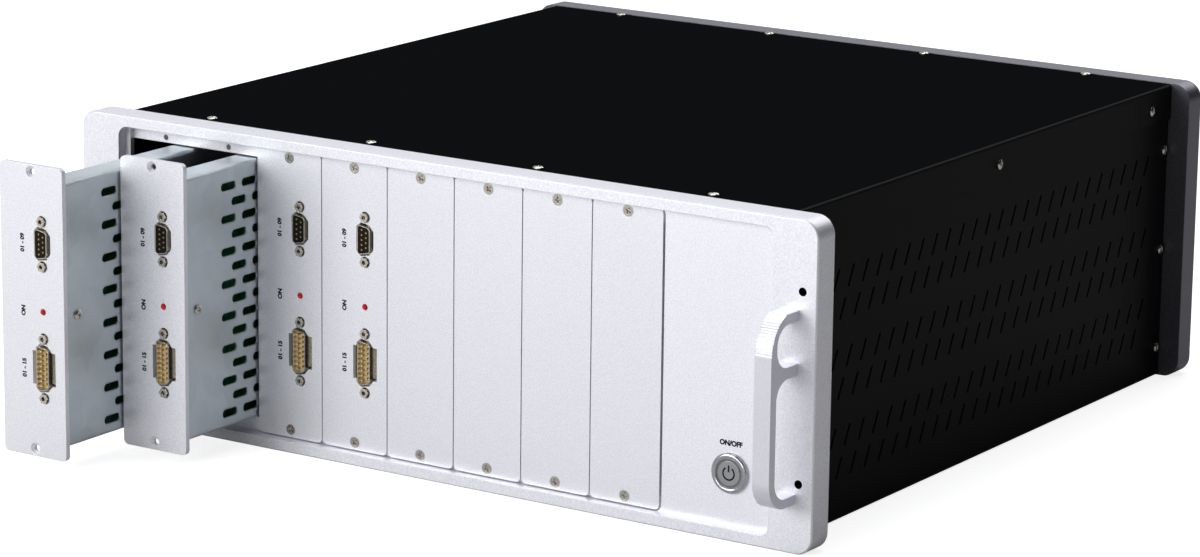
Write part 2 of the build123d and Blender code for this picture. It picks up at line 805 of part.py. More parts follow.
with BuildPart() as fan_rotor:
    rotor_front = fan_front + hub_thick + rotor_gap
    rod(fan_x, mid_z, hub_radius, rotor_front, rotor_front + rotor_depth, sides=large_sides)
    with BuildSketch(facing_front(rotor_front)):
        with Locations((fan_x, mid_z)):
            with PolarLocations(0, blade_count):
                with Locations(((hub_radius + blade_tip) / 2 - 1, 0)):
                    Rectangle(blade_tip - hub_radius + 2, blade_thick, rotation=blade_twist)
    extrude(amount=-rotor_depth)
    rod(fan_x, mid_z, pin_radius + pin_gap, rotor_front, rotor_front + pin_reach, Mode.SUBTRACT)
save(fan_rotor, "fan_rotor")

with BuildPart() as fan_guard:
    with BuildSketch(facing_front(body_length)):
        with Locations((fan_x, mid_z)):
            Rectangle(fan_size, fan_size)
            with GridLocations(fan_hole_spacing, fan_hole_spacing, 2, 2):
                RegularPolygon(tapped_radius, small_sides, major_radius=False, mode=Mode.SUBTRACT)
            for place in HexLocations(guard_mesh / 2, 9, 9):
                offset_from_centre = place.position
                if offset_from_centre.length < fan_bore / 2 - guard_mesh / 2:
                    with Locations(offset_from_centre):
                        RegularPolygon(guard_mesh / 2 - guard_wire, 6, mode=Mode.SUBTRACT)
    extrude(amount=-guard_thick)
save(fan_guard, "fan_guard")


# Mains inlet: flanged socket with three blades in its recess
with BuildPart() as mains_inlet:
    block((inlet_x - inlet_width / 2, body_length - inlet_depth, inlet_z - inlet_height / 2),
          (inlet_x + inlet_width / 2, body_length, inlet_z + inlet_height / 2))
    with BuildSketch(facing_front(body_length)):
        with Locations((inlet_x, inlet_z)):
            Rectangle(inlet_screw_spacing + 4 * clear_radius, inlet_height + 2 * blade_width)
            with GridLocations(inlet_screw_spacing, 0, 2, 1):
                RegularPolygon(clear_radius, small_sides, major_radius=False, mode=Mode.SUBTRACT)
    extrude(amount=-inlet_flange)
    block((inlet_x - inlet_width / 2 + inlet_wall, body_length - inlet_depth + inlet_floor,
           inlet_z - inlet_height / 2 + inlet_wall),
          (inlet_x + inlet_width / 2 - inlet_wall, body_length + inlet_flange,
           inlet_z + inlet_height / 2 - inlet_wall), Mode.SUBTRACT)
    for x, z in inlet_blades:
        block((inlet_x + x - blade_width / 2, body_length - inlet_depth,
               inlet_z + z - blade_height / 2),
              (inlet_x + x + blade_width / 2, body_length - 1, inlet_z + z + blade_height / 2))
save(mains_inlet, "mains_inlet")


# Data port: square metal shell round a tongue
with BuildPart() as data_port:
    block((port_x - port_width / 2, body_length - port_length, port_z - port_height / 2),
          (port_x + port_width / 2, body_length + port_proud, port_z + port_height / 2))
    block((port_x - port_width / 2 + port_wall, body_length - port_recess,
           port_z - port_height / 2 + port_wall),
          (port_x + port_width / 2 - port_wall, body_length + port_proud,
           port_z + port_height / 2 - port_wall), Mode.SUBTRACT)
    block((port_x - port_tongue[0] / 2, body_length - port_length, port_z - port_tongue[1] / 2),
          (port_x + port_tongue[0] / 2, body_length - port_wall, port_z + port_tongue[1] / 2))
save(data_port, "data_port")


# Ground post: stud through the rear panel with a thumb nut and a nut inside
with BuildPart() as ground_post:
    rod(post_x, post_z, post_radius, rear_inner - post_nut_length, body_length + post_reach)
    rod(post_x, post_z, post_nut_radius, body_length, body_length + post_nut_length,
        sides=large_sides)
    rod(post_x, post_z, inner_nut_radius, rear_inner - inner_nut_length, rear_inner, sides=6)
save(ground_post, "ground_post")


# Power button: housing with a proud bezel, a lamp groove and a nut behind the panel
with BuildPart() as switch_housing:
    rod(button_x, button_z, bezel_radius, pocket_depth - bezel_proud, pocket_depth,
        sides=round_sides)
    chamfer(switch_housing.edges().group_by(Axis.Y)[0], bezel_chamfer)
    rod(button_x, button_z, barrel_radius, pocket_depth, pocket_depth + barrel_depth,
        sides=large_sides)
    with BuildSketch(facing_front(front_thick)):
        with Locations((button_x, button_z)):
            RegularPolygon(nut_across / 2, 6, major_radius=False)
    extrude(amount=-nut_thick)
    rod(button_x, button_z, groove_radius, pocket_depth - bezel_proud,
        pocket_depth - bezel_proud + groove_depth, Mode.SUBTRACT, round_sides)
    rod(button_x, button_z, button_radius + button_gap, pocket_depth - bezel_proud,
        pocket_depth - bezel_proud + button_length + button_room, Mode.SUBTRACT, round_sides)
save(switch_housing, "switch_housing")

with BuildPart() as switch_button:
    rod(button_x, button_z, button_radius, pocket_depth - bezel_proud,
        pocket_depth - bezel_proud + button_length, sides=round_sides)
    chamfer(switch_button.edges().group_by(Axis.Y)[0], button_chamfer)
save(switch_button, "switch_button")


def screws_on(plane, spots, length):
    """Pan-head screws at the spots of a plane, heads standing outwards."""
    for amount, radius in ((head_height, head_radius), (-length, shank_radius)):
        with BuildSketch(plane) as ends:
            with Locations(*spots):
                RegularPolygon(radius, small_sides)
        extrude(ends.sketch, amount=amount)


# Pan-head screws of the covers, the handles and the rear fittings
with BuildPart() as pan_head_screws:
    for depth in (lip_screw_depth, rear_screw_depth):
        screws_on(Plane.XY.offset(case_height),
                  [(x * top_screw_spacing, from_front(depth)) for x in (-1.5, -0.5, 0.5, 1.5)],
                  screw_length)
    for side in (-1, 1):
        plane = Plane.YZ if side > 0 else Plane.YZ.rotated((0, 0, 180))
        screws_on(plane.offset(case_width / 2),
                  [(side * from_front(depth), flange_screw_z) for depth in flange_screw_depths],
                  flange_screw_length)
        screws_on(plane.offset(tray_half),
                  [(side * from_front(depth), height) for height in side_screw_heights
                   for depth in (lip_screw_depth, rear_screw_depth)], screw_length)
    back = Plane.XZ.rotated((0, 0, 180))
    screws_on(back.offset(from_front(front_thick - handle_sink_depth)),
              [(side * handle_x, height) for side in (-1, 1) for height in handle_screw_z],
              front_thick - handle_sink_depth + handle_screw_reach)
    screws_on(back.offset(from_front(body_length + guard_thick)),
              [(-fan_x + side_x * fan_hole_spacing / 2, mid_z + side_z * fan_hole_spacing / 2)
               for side_x in (-1, 1) for side_z in (-1, 1)], screw_length)
    screws_on(back.offset(from_front(body_length + inlet_flange)),
              [(-inlet_x + side * inlet_screw_spacing / 2, inlet_z) for side in (-1, 1)],
              screw_length)
save(pan_head_screws, "pan_head_screws")


# Countersunk screws that hold the plates of slots 3 to 8 to the ledges
with BuildPart() as plate_screws:
    held = [slot for slot in range(1, slot_count + 1) if module_pull.get(slot, 0) == 0]
    spots = [(slot_x(slot), mid_z + side * plate_screw_spacing / 2)
             for slot in held for side in (-1, 1)]
    head_depth = sunk_head_radius - shank_radius
    with BuildSketch(facing_front(plate_face + sunk_head_depth)):
        with Locations(*spots):
            RegularPolygon(sunk_head_radius, small_sides)
    extrude(amount=-head_depth, taper=45)
    with BuildSketch(facing_front(plate_face + sunk_head_depth + head_depth)):
        with Locations(*spots):
            RegularPolygon(shank_radius, small_sides)
    extrude(amount=-plate_screw_length)
save(plate_screws, "plate_screws")
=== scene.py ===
import bpy
import math
import numpy as np
from mathutils import Matrix, Vector


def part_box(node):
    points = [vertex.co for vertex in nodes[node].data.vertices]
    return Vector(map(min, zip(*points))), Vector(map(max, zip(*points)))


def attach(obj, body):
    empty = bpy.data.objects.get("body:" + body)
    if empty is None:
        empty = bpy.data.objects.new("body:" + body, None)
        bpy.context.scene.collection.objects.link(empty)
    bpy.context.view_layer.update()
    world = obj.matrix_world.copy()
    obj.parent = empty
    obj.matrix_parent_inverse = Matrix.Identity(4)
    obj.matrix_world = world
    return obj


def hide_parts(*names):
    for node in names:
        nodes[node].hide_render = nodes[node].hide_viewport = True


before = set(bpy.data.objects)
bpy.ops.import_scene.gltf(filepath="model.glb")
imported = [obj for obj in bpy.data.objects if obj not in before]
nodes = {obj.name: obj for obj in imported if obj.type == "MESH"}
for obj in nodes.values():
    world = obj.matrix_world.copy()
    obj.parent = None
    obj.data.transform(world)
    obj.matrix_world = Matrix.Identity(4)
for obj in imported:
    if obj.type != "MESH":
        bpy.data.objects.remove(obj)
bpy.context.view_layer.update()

# Camera
# The photograph looks at the instrument from the front right and a little above, through
# a long lens. The place and turn come from fitting the corners of the front panel.
PHOTO_WIDTH = 1200
FOCAL_PIXELS = 4405.8
SENSOR_MM = 36.0
camera_data = bpy.data.cameras.new("camera")
camera_data.sensor_width = SENSOR_MM
camera_data.lens = FOCAL_PIXELS / PHOTO_WIDTH * SENSOR_MM
camera = bpy.data.objects.new("camera", camera_data)
bpy.context.scene.collection.objects.link(camera)
bpy.context.scene.camera = camera
camera_right = Vector((0.83275589, 0.55351347, 0.01185145))
camera_down = Vector((0.13876209, -0.18794747, -0.97232753))
camera_forward = Vector((-0.53596894, 0.81135601, -0.23332106))
camera_place = Vector((1.34297, -2.09604, 0.66580))
turn = Matrix((camera_right, -camera_down, -camera_forward)).transposed()
camera.matrix_world = Matrix.Translation(camera_place) @ turn.to_4x4()


def linear(code):
    """An sRGB hex colour as linear red, green, blue and alpha."""
    parts = [int(code[place:place + 2], 16) / 255 for place in (1, 3, 5)]
    return tuple(c / 12.92 if c <= 0.04045 else ((c + 0.055) / 1.055) ** 2.4
                 for c in parts) + (1.0,)


def add_node(tree, kind, inputs=None, **settings):
    """Adds one node; an input given as a socket is linked, any other is set as its value."""
    made = tree.nodes.new(kind)
    for name, value in settings.items():
        setattr(made, name, value)
    for name, value in (inputs or {}).items():
        if isinstance(value, bpy.types.NodeSocket):
            tree.links.new(value, made.inputs[name])
        else:
            made.inputs[name].default_value = value
    return made


# Studio
# A white floor and background, a broad soft lamp in front at the left and weaker ones in
# front, above and behind. The sky darkens towards the right, which leaves the case's right
# wall in shade, and metal mirrors a pale backdrop behind it on the left.
WORLD_LEVEL = 0.46
SKY_TURN, SKY_DARKEST = 0.6, 0.02
BACKDROP_WAY, BACKDROP_LEVEL = (-0.55, 0.83, 0.0), 0.9
BACKDROP_EDGE, BACKDROP_CORE = 0.62, 0.95
world = bpy.data.worlds.new("studio")
bpy.context.scene.world = world
world.use_nodes = True
sky = world.node_tree
sky.nodes.clear()
rays = add_node(sky, "ShaderNodeLightPath")
direction = add_node(sky, "ShaderNodeTexCoord")
across = add_node(sky, "ShaderNodeSeparateXYZ", {0: direction.outputs["Generated"]})
shade = add_node(sky, "ShaderNodeMapRange",
                 {"Value": across.outputs["X"], "From Min": -SKY_TURN, "From Max": SKY_TURN,
                  "To Min": 1.0, "To Max": SKY_DARKEST})
level = add_node(sky, "ShaderNodeMath", {0: shade.outputs[0], 1: WORLD_LEVEL},
                 operation="MULTIPLY")
behind = add_node(sky, "ShaderNodeVectorMath",
                  {0: direction.outputs["Generated"], 1: BACKDROP_WAY}, operation="DOT_PRODUCT")
backdrop = add_node(sky, "ShaderNodeMapRange",
                    {"Value": behind.outputs["Value"], "From Min": BACKDROP_EDGE,
                     "From Max": BACKDROP_CORE, "To Min": 0.0, "To Max": BACKDROP_LEVEL})
mirrored = add_node(sky, "ShaderNodeMath",
                    {0: rays.outputs["Is Glossy Ray"], 1: backdrop.outputs[0]},
                    operation="MULTIPLY")
strength = add_node(sky, "ShaderNodeMath", {0: level.outputs[0], 1: mirrored.outputs[0]},
                    operation="MAXIMUM")
seen = add_node(sky, "ShaderNodeMath",
                {0: rays.outputs["Is Camera Ray"], 1: rays.outputs["Is Transmission Ray"]},
                operation="MAXIMUM")
plain = add_node(sky, "ShaderNodeBackground", {"Color": linear("#ffffff"), "Strength": 1.0})
lit = add_node(sky, "ShaderNodeBackground", {"Color": linear("#f8faff"),
                                             "Strength": strength.outputs[0]})
mixed = add_node(sky, "ShaderNodeMixShader", {0: seen.outputs[0], 1: lit.outputs[0],
                                              2: plain.outputs[0]})
add_node(sky, "ShaderNodeOutputWorld", {"Surface": mixed.outputs[0]})
bpy.context.scene.view_settings.view_transform = "Standard"


LAMP_TARGET = Vector((0.0, 0.0, 0.1))


def soft_lamp(name, place, size, watts):
    """A rectangular white area lamp of a width and height in metres, turned to the target."""
    data = bpy.data.lights.new(name, "AREA")
    data.shape = "RECTANGLE"
    data.size, data.size_y = size
    data.energy = watts
    lamp = bpy.data.objects.new(name, data)
    bpy.context.scene.collection.objects.link(lamp)
    aim = (LAMP_TARGET - Vector(place)).to_track_quat("-Z", "Y")
    lamp.matrix_world = Matrix.Translation(place) @ aim.to_matrix().to_4x4()


soft_lamp("front_lamp", place=(-1.3, -2.6, 1.1), size=(1.8, 1.4), watts=58)
soft_lamp("fill_lamp", place=(0.3, -3.0, 0.6), size=(1.2, 1.0), watts=15)
soft_lamp("top_lamp", place=(-0.2, 0.2, 2.2), size=(1.6, 1.6), watts=26)
soft_lamp("back_lamp", place=(0.2, 2.7, 1.9), size=(2.0, 0.8), watts=18)

FLOOR_GLOW = 0.80
FLOOR_HALF = 6.0
floor_mesh = bpy.data.meshes.new("floor")
floor_mesh.from_pydata([(-FLOOR_HALF, -FLOOR_HALF, 0), (FLOOR_HALF, -FLOOR_HALF, 0),
                        (FLOOR_HALF, FLOOR_HALF, 0), (-FLOOR_HALF, FLOOR_HALF, 0)], [],
                       [(0, 1, 2, 3)])
floor = bpy.data.objects.new("floor", floor_mesh)
bpy.context.scene.collection.objects.link(floor)
floor_material = bpy.data.materials.new("white_paper")
floor_material.use_nodes = True
paper = floor_material.node_tree
paper.nodes.clear()
paper_rays = add_node(paper, "ShaderNodeLightPath")
paper_glow = add_node(paper, "ShaderNodeEmission", {"Color": linear("#ffffff"),
                                                   "Strength": FLOOR_GLOW})
paper_diffuse = add_node(paper, "ShaderNodeBsdfDiffuse", {"Color": linear("#c8c8c8")})
paper_seen = add_node(paper, "ShaderNodeMixShader", {0: paper_rays.outputs["Is Camera Ray"],
                                                     2: paper_glow.outputs[0]})
paper_sum = add_node(paper, "ShaderNodeAddShader", {0: paper_diffuse.outputs[0],
                                                    1: paper_seen.outputs[0]})
add_node(paper, "ShaderNodeOutputMaterial", {"Surface": paper_sum.outputs[0]})
floor_mesh.materials.append(floor_material)


def surface(name, colour, metallic, roughness, specular=0.5):
    """A new material with its own Principled shader, and its node tree."""
    made = bpy.data.materials.new(name)
    made.use_nodes = True
    tree = made.node_tree
    shader = tree.nodes["Principled BSDF"]
    shader.inputs["Base Color"].default_value = linear(colour)
    shader.inputs["Metallic"].default_value = metallic
    shader.inputs["Roughness"].default_value = roughness
    shader.inputs["Specular IOR Level"].default_value = specular
    return made, tree, shader


def vary_colour(tree, shader, texture, dark, light, low=0.35, high=0.65):
    """Base colour that runs from dark to light with a texture's value."""
    spread = add_node(tree, "ShaderNodeMapRange", {"Value": texture, "From Min": low,
                                                   "From Max": high})
    mix = add_node(tree, "ShaderNodeMix", {"Factor": spread.outputs[0]}, data_type="RGBA")
    mix.inputs[6].default_value = linear(dark)
    mix.inputs[7].default_value = linear(light)
    tree.links.new(mix.outputs[2], shader.inputs["Base Color"])


def grain(tree, size_mm, detail=2.0):
    """Noise on Object coordinates whose grains are about a size in millimetres."""
    place = add_node(tree, "ShaderNodeTexCoord")
    return add_node(tree, "ShaderNodeTexNoise", {"Vector": place.outputs["Object"],
                                                 "Scale": 1000.0 / size_mm, "Detail": detail})


BEVEL_SAMPLES = 4


def relief(tree, shader, height, depth_mm, strength, edge_mm=0.0):
    """Bump of a height in millimetres, over edges that look rounded by a radius."""
    bump = add_node(tree, "ShaderNodeBump", {"Height": height, "Distance": depth_mm / 1000.0,
                                             "Strength": strength})
    if edge_mm:
        rounded = add_node(tree, "ShaderNodeBevel", {"Radius": edge_mm / 1000.0},
                           samples=BEVEL_SAMPLES)
        tree.links.new(rounded.outputs[0], bump.inputs["Normal"])
    tree.links.new(bump.outputs[0], shader.inputs["Normal"])


def dress(material, *names):
    """Gives CAD nodes one material."""
    for name in names:
        mesh = nodes[name].data
        mesh.materials.clear()
        mesh.materials.append(material)


# Front panel, rear panel and slot plates
# Thick aluminium plate, milled, bead-blasted and anodised: a pale, even, slightly sparkling
# grey with soft edges. The plates are the same on thinner stock. The rear panel is the same
# plate darkened to grey as painted shade. Behind the plates and in the ear holes, where
# little light reaches, the front panel is painted black as shade.
BLAST_GRAIN_MM = 0.7
MID_Z = 0.0885
OPENING_FRONT = -0.2192
OPENING_LEFT, OPENING_RIGHT = -0.2120, 0.1462
OPENING_LOW, OPENING_HIGH = 0.0138, 0.1632
EAR_HOLE_X, EAR_HOLE_RISE, EAR_HOLE_RADIUS = 0.23255, 0.0508, 0.0023


def bead_blasted(name, colour, dark, light, metallic, roughness, edge_mm):
    """Anodised aluminium with a fine blasted grain, which shows in its colour and relief."""
    made, tree, shader = surface(name, colour, metallic, roughness)
    blast = grain(tree, BLAST_GRAIN_MM)
    vary_colour(tree, shader, blast.outputs[0], dark, light)
    relief(tree, shader, blast.outputs[0], depth_mm=0.05, strength=0.35, edge_mm=edge_mm)
    return made, tree, shader


def paint_shade(tree, shader, where, colour):
    """A dull dark colour, painted shade, shown in place of a material's own shader where a value
    is one.
    """
    dull = add_node(tree, "ShaderNodeBsdfDiffuse", {"Color": linear(colour)})
    either = add_node(tree, "ShaderNodeMixShader", {0: where, 1: shader.outputs[0],
                                                    2: dull.outputs[0]})
    tree.links.new(either.outputs[0], tree.nodes["Material Output"].inputs["Surface"])


anodised, tree, shader = bead_blasted(
    "bead_blasted_anodised_aluminium", "#e6e6ec", "#dcdce2", "#eeeef4",
    metallic=0.55, roughness=0.45, edge_mm=0.5)
# Painted shade: faces inside the opening behind the plates, and in the ear holes, are drawn near
# black in place of the aluminium.
place = add_node(tree, "ShaderNodeTexCoord")
apart = add_node(tree, "ShaderNodeSeparateXYZ", {0: place.outputs["Object"]})
inside = None
for axis, side, limit in (
        ("Y", "GREATER_THAN", OPENING_FRONT), ("X", "GREATER_THAN", OPENING_LEFT),
        ("X", "LESS_THAN", OPENING_RIGHT), ("Z", "GREATER_THAN", OPENING_LOW),
        ("Z", "LESS_THAN", OPENING_HIGH)):
    test = add_node(tree, "ShaderNodeMath", {0: apart.outputs[axis], 1: limit}, operation=side)
    inside = test if inside is None else add_node(
        tree, "ShaderNodeMath", {0: inside.outputs[0], 1: test.outputs[0]}, operation="MULTIPLY")
centred = add_node(tree, "ShaderNodeVectorMath",
                   {0: place.outputs["Object"], 1: (0.0, 0.0, -MID_Z)}, operation="ADD")
folded = add_node(tree, "ShaderNodeVectorMath", {0: centred.outputs[0]}, operation="ABSOLUTE")
flattened = add_node(tree, "ShaderNodeVectorMath", {0: folded.outputs[0], 1: (1.0, 0.0, 1.0)},
                     operation="MULTIPLY")
from_hole = add_node(tree, "ShaderNodeVectorMath",
                     {0: flattened.outputs[0], 1: (EAR_HOLE_X, 0.0, EAR_HOLE_RISE)},
                     operation="DISTANCE")
in_hole = add_node(tree, "ShaderNodeMath",
                   {0: from_hole.outputs["Value"], 1: EAR_HOLE_RADIUS}, operation="LESS_THAN")
shaded = add_node(tree, "ShaderNodeMath", {0: inside.outputs[0], 1: in_hole.outputs[0]},
                  operation="MAXIMUM")
paint_shade(tree, shader, shaded.outputs[0], "#050505")
dress(anodised, "front_panel")
# Painted shade: the rear panel is the same aluminium as the front, with its colours darkened to
# grey for the shade it stands in.
shaded_anodised, tree, shader = bead_blasted(
    "anodised_aluminium_painted_shade", "#606068", "#5a5a62", "#6a6a72",
    metallic=0.85, roughness=0.38, edge_mm=0.5)
dress(shaded_anodised, "rear_panel")
plate_finish, tree, shader = bead_blasted(
    "bead_blasted_plate_aluminium", "#e4e4ea", "#dadae0", "#ebebf1",
    metallic=0.55, roughness=0.42, edge_mm=0.3)
dress(plate_finish,
      *[name for name in nodes if name.endswith("_plate") or name.startswith("blank_")])

# Case
# Folded steel sheet in smooth black powder coat: nearly black, with a faint orange peel.
# Its sheen fades on faces that look straight up, which would else mirror the backdrop.
COAT_SHEEN = 0.03
SHEEN_FULL_BELOW, SHEEN_GONE_ABOVE = 0.7, 0.97
powder_coat, tree, shader = surface("black_powder_coat", "#0f1012", metallic=0.0,
                                    roughness=0.4, specular=0.0)
facing = add_node(tree, "ShaderNodeNewGeometry")
rise = add_node(tree, "ShaderNodeSeparateXYZ", {0: facing.outputs["Normal"]})
sheen = add_node(tree, "ShaderNodeMapRange",
                 {"Value": rise.outputs["Z"], "From Min": SHEEN_FULL_BELOW,
                  "From Max": SHEEN_GONE_ABOVE, "To Min": COAT_SHEEN, "To Max": 0.0})
tree.links.new(sheen.outputs[0], shader.inputs["Specular IOR Level"])
peel = grain(tree, size_mm=1.6)
relief(tree, shader, peel.outputs[0], depth_mm=0.06, strength=0.25, edge_mm=0.4)
dress(powder_coat, "top_cover", "lower_case")

# Pull handles
# Bent aluminium bars, satin anodised, with a toothed thumb rest milled at the top bend.
# The finish is a little brighter and smoother than the panel's, and the teeth stay crisp.
satin, tree, shader = surface("satin_anodised_aluminium", "#dcdce4", metallic=0.62,
                              roughness=0.36)
blast = grain(tree, size_mm=0.5)
vary_colour(tree, shader, blast.outputs[0], "#d4d4dc", "#e2e2ea")
relief(tree, shader, blast.outputs[0], depth_mm=0.03, strength=0.25, edge_mm=0.12)
dress(satin, "handle_left", "handle_right")

# Module shields
# Galvanised steel sheet, folded to an open channel: bluish grey zinc with large faint
# spangles and a soft metallic shine. The power supply's box is the same sheet.
SPANGLE_MM = 9.0
zinc, tree, shader = surface("galvanised_steel", "#c2ccd1", metallic=0.7, roughness=0.36)
place = add_node(tree, "ShaderNodeTexCoord")
spangle = add_node(tree, "ShaderNodeTexVoronoi", {"Vector": place.outputs["Object"],
                                                  "Scale": 1000.0 / SPANGLE_MM})
spangle_value = add_node(tree, "ShaderNodeSeparateColor", {0: spangle.outputs["Color"]})
vary_colour(tree, shader, spangle_value.outputs[0], "#bec8cd", "#c6d0d5", low=0.0, high=1.0)
relief(tree, shader, spangle_value.outputs[1], depth_mm=0.01, strength=0.05, edge_mm=1.6)
dress(zinc, *[name for name in nodes if name.endswith("_shield")], "power_supply", "fan_guard")

# Circuit boards
# Glass-fibre board under green solder mask, seen through the vents of the shields. Faces
# that look to the front or the left are painted near black as shade, so that no green
# shows round the plates.
SEEN_EDGE_ON = -0.5
mask, tree, shader = surface("green_solder_mask", "#0f5a30", metallic=0.0, roughness=0.35)
tracks = grain(tree, size_mm=3.0, detail=3.0)
vary_colour(tree, shader, tracks.outputs[0], "#0b4727", "#177a42")
relief(tree, shader, tracks.outputs[0], depth_mm=0.03, strength=0.3)
# Painted shade: faces that look to the front or the left are drawn near black instead of green.
facing = add_node(tree, "ShaderNodeNewGeometry")
ahead = add_node(tree, "ShaderNodeSeparateXYZ", {0: facing.outputs["Normal"]})
nearest = add_node(tree, "ShaderNodeMath", {0: ahead.outputs["Y"], 1: ahead.outputs["X"]},
                   operation="MINIMUM")
painted_shade_faces = add_node(tree, "ShaderNodeMath", {0: nearest.outputs[0], 1: SEEN_EDGE_ON},
                   operation="LESS_THAN")
paint_shade(tree, shader, painted_shade_faces.outputs[0], "#0a0c0a")
dress(mask, *[name for name in nodes if name.endswith("_board")])

# Connectors
# Nickel-plated steel shells round moulded insulators, black in the nine-way and cream in
# the fifteen-way. The guides, fan and inlet are dressed in the black moulding, and so is
# the backplane, a board, as painted shade deep inside the case.
nickel, tree, shader = surface("nickel_plate", "#dcd5c6", metallic=1.0, roughness=0.22)
wear = grain(tree, size_mm=1.2)
vary_colour(tree, shader, wear.outputs[0], "#cfc8b8", "#e6e0d4")
relief(tree, shader, wear.outputs[0], depth_mm=0.01, strength=0.2, edge_mm=0.15)
dress(nickel, *[name for name in nodes if "_shell_" in name or name.endswith("_jackscrews")],
      "data_port")
black_moulding, tree, shader = surface("black_moulded_plastic", "#08080a", metallic=0.0,
                                       roughness=0.45, specular=0.15)
texture = grain(tree, size_mm=0.4)
relief(tree, shader, texture.outputs[0], depth_mm=0.02, strength=0.2, edge_mm=0.15)
# The backplane, a board, is drawn in this black as painted shade deep inside the case.
dress(black_moulding, *[name for name in nodes if name.endswith("core_9")], "fan_frame",
      "fan_rotor", "mains_inlet", "lower_guides", "upper_guides", "backplane")
cream_moulding, tree, shader = surface("cream_moulded_plastic", "#d8cba6", metallic=0.0,
                                       roughness=0.4)
texture = grain(tree, size_mm=0.4)
relief(tree, shader, texture.outputs[0], depth_mm=0.02, strength=0.2, edge_mm=0.15)
dress(cream_moulding, *[name for name in nodes if name.endswith("core_15")])

# Status lamps
# Small round lenses of clear red moulded plastic, pressed into the module plates. They are
# glossy and catch one bright point of light.
red_lens, tree, shader = surface("red_lamp_lens", "#c8141c", metallic=0.0, roughness=0.12)
dress(red_lens, *[name for name in nodes if name.endswith("_led")])

# Power button
# Stainless steel: a polished bezel round a flat button whose face shows fine turned rings.
# The gap between them holds a dull grey light guide.
BUTTON_X, BUTTON_Z = 0.188, 0.0351
RING_SCALE = 500.0  # a ring every 0.63 mm, coarser than real turning so that it shows
polished, tree, shader = surface("polished_stainless_steel", "#b4b4b8", metallic=1.0,
                                 roughness=0.22)
turning = grain(tree, size_mm=0.8)
relief(tree, shader, turning.outputs[0], depth_mm=0.01, strength=0.1, edge_mm=0.2)
dress(polished, "switch_housing")
turned_steel, tree, shader = surface("turned_stainless_steel", "#a9a9ad", metallic=1.0,
                                     roughness=0.32)
place = add_node(tree, "ShaderNodeTexCoord")
about = add_node(tree, "ShaderNodeVectorMath",
                 {0: place.outputs["Object"], 1: (-BUTTON_X, 0.0, -BUTTON_Z)}, operation="ADD")
rings = add_node(tree, "ShaderNodeTexWave",
                 {"Vector": about.outputs[0], "Scale": RING_SCALE, "Distortion": 0.4},
                 wave_type="RINGS", rings_direction="Y")
vary_colour(tree, shader, rings.outputs["Fac"], "#97979b", "#b4b4b8", low=0.0, high=1.0)
relief(tree, shader, rings.outputs["Fac"], depth_mm=0.01, strength=0.25, edge_mm=0.2)
dress(turned_steel, "switch_button")
light_guide, tree, shader = surface("grey_light_guide", "#77777c", metallic=0.3, roughness=0.4)
speckle = grain(tree, size_mm=0.3)
relief(tree, shader, speckle.outputs[0], depth_mm=0.003, strength=0.1)

# Screws and ground post
# Nickel-plated steel machine screws with a cross recess: pan heads on the case, sunk heads
# in the slot plates. Each is turned by hand, so no two recesses stand alike.
screw_metal, tree, shader = surface("nickel_plated_screws", "#c6c2b8", metallic=1.0,
                                    roughness=0.26)
turning = grain(tree, size_mm=0.8)
relief(tree, shader, turning.outputs[0], depth_mm=0.01, strength=0.15, edge_mm=0.1)
dress(screw_metal, "ground_post")
SHANK_RADIUS = 1.5
PAN_RADIUS, PAN_DOME, PAN_RIM = 2.8, 0.9, [(2.82, 0.25), (2.75, 1.0)]
SUNK_RADIUS, SUNK_CONE_DEPTH, SUNK_LENGTH = 3.0, 1.5, 8.5
RECESS_ARM, RECESS_HALF_WIDTH, RECESS_DEPTH = 0.62, 0.17, 0.42
RECESS_WALL, RECESS_END = 0.09, 0.2
HEAD_STEPS, HEAD_CROWDING = 20, 1.4
screw_turns = np.random.default_rng(7)


def new_piece(name, points, faces, material, body, slot, sharp_degrees=35):
    """A mesh piece in metres that rides on a body; edges over an angle stay sharp."""
    mesh = bpy.data.meshes.new(name)
    mesh.from_pydata(np.asarray(points).tolist(), [], [tuple(face) for face in faces])
    mesh.polygons.foreach_set("use_smooth", np.ones(len(mesh.polygons), bool))
    mesh.set_sharp_from_angle(angle=math.radians(sharp_degrees))
    mesh.materials.append(material)
    made = bpy.data.objects.new(name, mesh)
    bpy.context.scene.collection.objects.link(made)
    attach(made, body)
    return made


